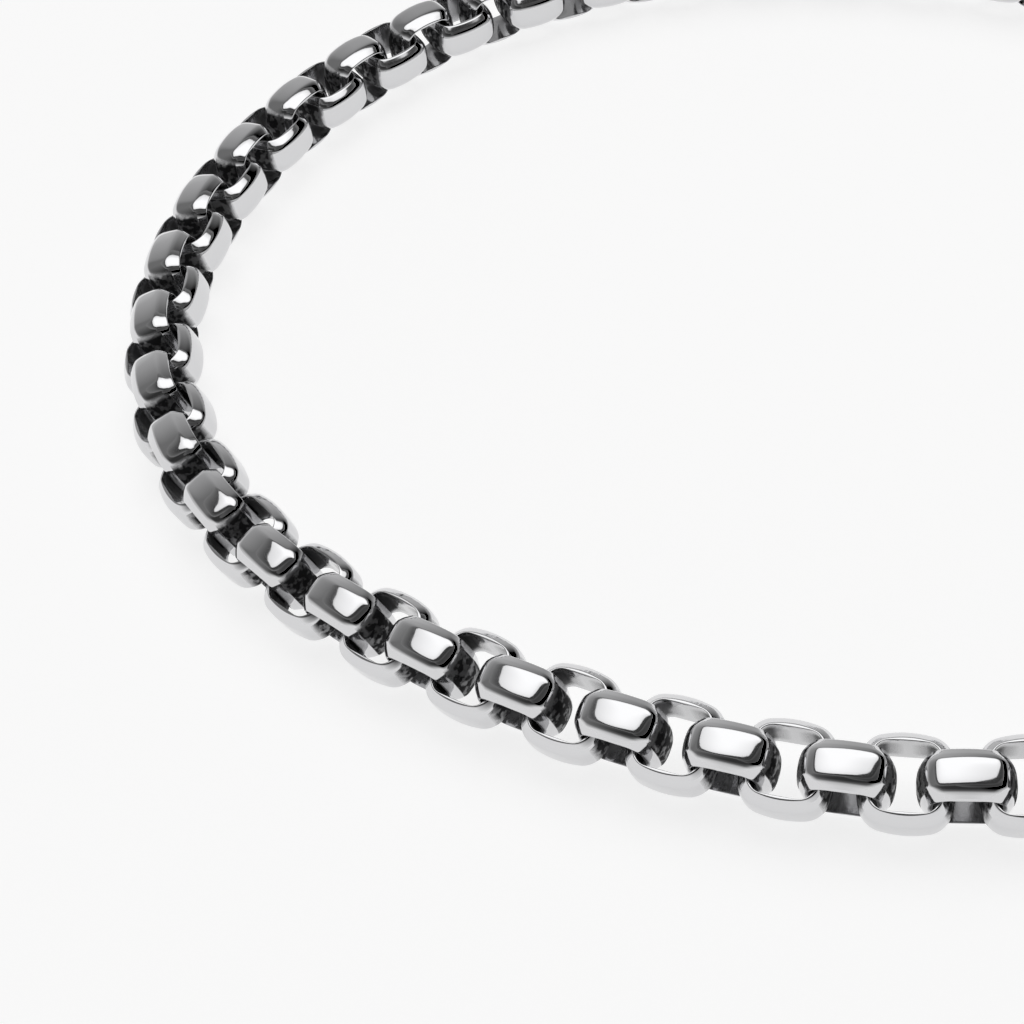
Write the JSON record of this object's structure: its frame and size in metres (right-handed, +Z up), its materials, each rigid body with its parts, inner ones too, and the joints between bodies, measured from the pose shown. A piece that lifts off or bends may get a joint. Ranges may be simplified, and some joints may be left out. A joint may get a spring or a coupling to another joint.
{
  "type": "chain bracelet",
  "caption": "Closed bracelet of rounded box-chain links in polished steel, lying in an oval loop, with a plain barrel closure.",
  "frame": {"origin": "middle of the loop's box, on the surface that the bracelet lies on", "axes": "+Z up through the loop, +Y away from the picture's viewer, +X to the viewer's right"},
  "size_m": [0.0719, 0.0668, 0.004],
  "materials": {
    "chain_steel": "mirror polished",
    "clasp_steel": "mirror polished"
  },
  "bodies": {
    "root": {"chain": "chain_steel", "clasp": "clasp_steel"}
  },
  "joints": []
}
